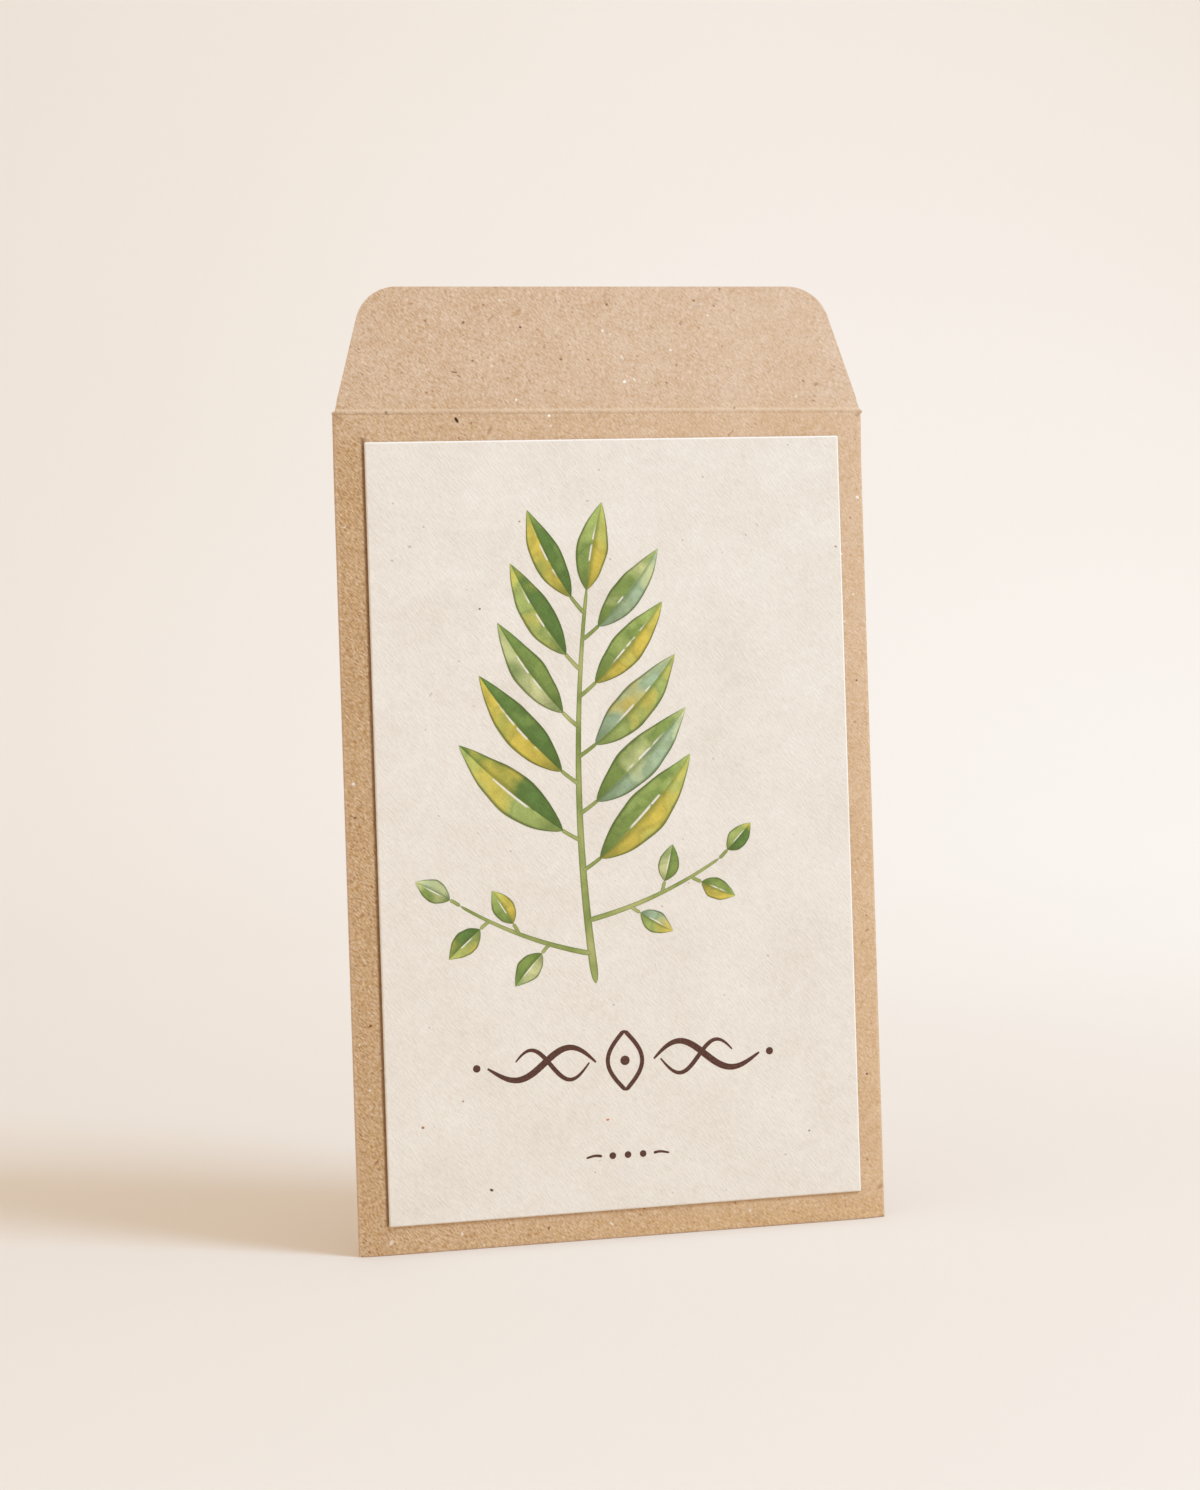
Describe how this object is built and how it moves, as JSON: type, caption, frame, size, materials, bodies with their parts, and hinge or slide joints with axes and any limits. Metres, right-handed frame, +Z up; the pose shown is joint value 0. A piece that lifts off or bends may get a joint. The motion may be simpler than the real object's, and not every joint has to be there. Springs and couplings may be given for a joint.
{
  "type": "seed packet",
  "caption": "Upright kraft-paper seed packet with an open top flap, a cream card glued to its flat front, and seeds in its narrow pocket.",
  "frame": {"origin": "on the surface the packet stands on, under the middle of its boat-shaped base", "axes": "+Z up along the packet's height, +X across its width to the right as seen from the front, +Y from the front towards the back"},
  "size_m": [0.08, 0.0119, 0.1398],
  "materials": {
    "kraft": "matt kraft paper with short dark and pale fibres",
    "card": "matt cream card with a fine embossed tooth",
    "seed": "dry brown seed husk with paler ridges",
    "print_green": "flat green and yellow watercolour print",
    "print_brown": "flat dark-brown ink print"
  },
  "bodies": {
    "pocket": {"front_panel": "kraft", "left_back_panel": "kraft", "right_back_panel": "kraft", "base_panel": "kraft", "bottom_flap": "kraft", "label_card": "card", "seed_1": "seed", "seed_2": "seed", "seed_3": "seed", "seed_4": "seed", "seed_5": "seed", "seed_6": "seed", "seed_7": "seed", "seed_8": "seed", "seed_9": "seed", "seed_10": "seed", "seed_11": "seed", "seed_12": "seed", "seed_13": "seed"},
    "flap": {"top_flap": "kraft"}
  },
  "joints": [
    {"name": "flap_fold", "type": "hinge", "parent": "pocket", "child": "flap", "pos_m": [0, -0.0004, 0.121], "axis": [-1, 0, 0], "range_deg": [-8, 167]}
  ]
}
